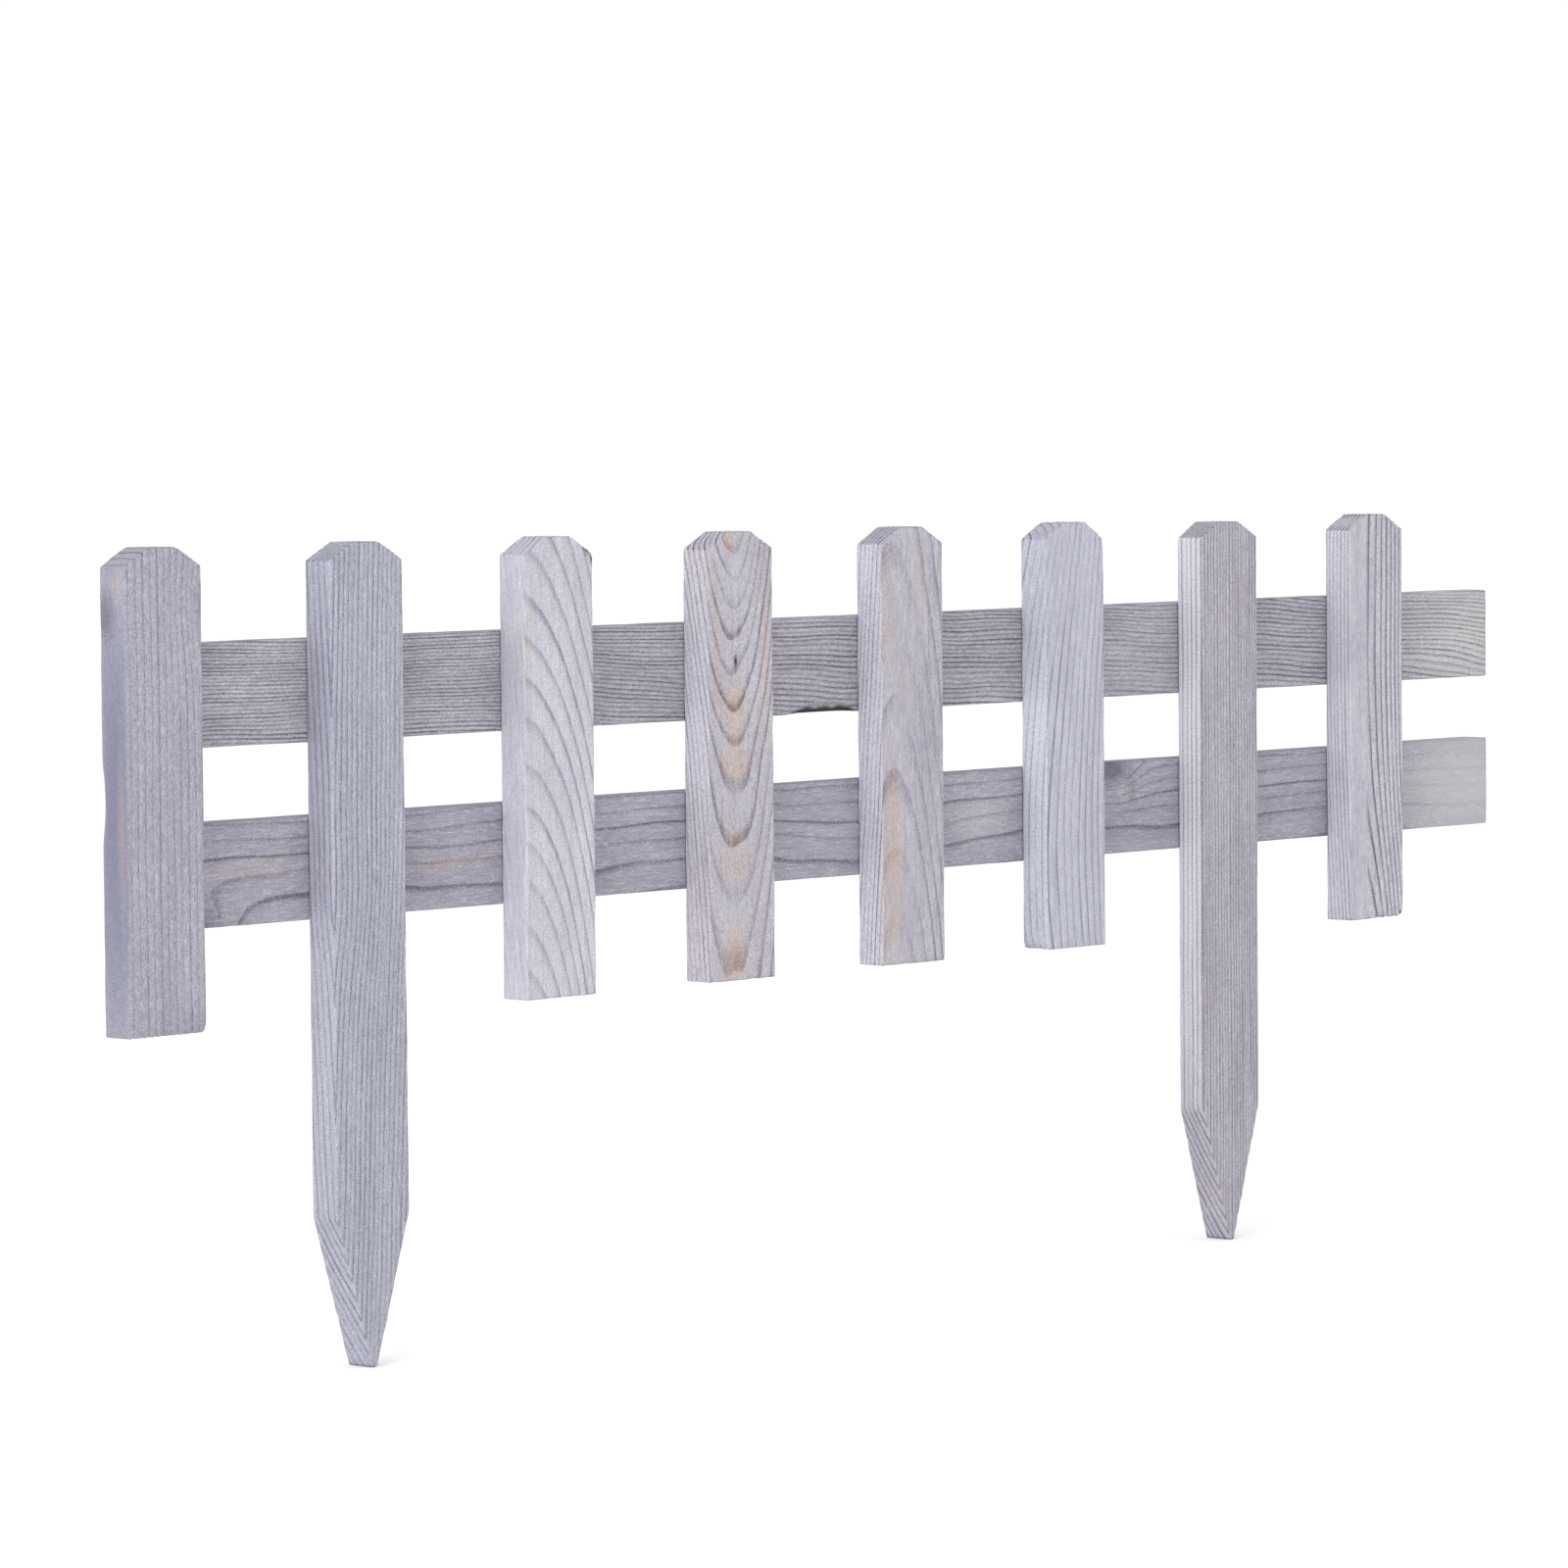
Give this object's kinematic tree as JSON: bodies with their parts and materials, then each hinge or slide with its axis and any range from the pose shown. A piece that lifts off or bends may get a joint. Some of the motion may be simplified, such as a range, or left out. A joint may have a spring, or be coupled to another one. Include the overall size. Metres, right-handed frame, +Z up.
{
  "type": "wooden bed border fence panel",
  "caption": "Low wooden picket fence panel on two rails, with two pointed stakes that push into the ground to edge a garden bed.",
  "frame": {"origin": "middle of the blunt tip of the left stake", "axes": "+X along the fence towards the end where the rails run on past the last board, +Y from the boards towards the rails, so the front looks along -Y, +Z up"},
  "size_m": [1.12, 0.036, 0.415],
  "materials": {
    "board_wood": "rough-sawn softwood with a thin grey wash",
    "rail_wood": "rough-sawn softwood with a thin grey wash"
  },
  "bodies": {
    "root": {"picket_1": "board_wood", "stake_2": "board_wood", "picket_3": "board_wood", "picket_4": "board_wood", "picket_5": "board_wood", "picket_6": "board_wood", "stake_7": "board_wood", "picket_8": "board_wood", "top_rail": "rail_wood", "bottom_rail": "rail_wood"}
  },
  "joints": []
}
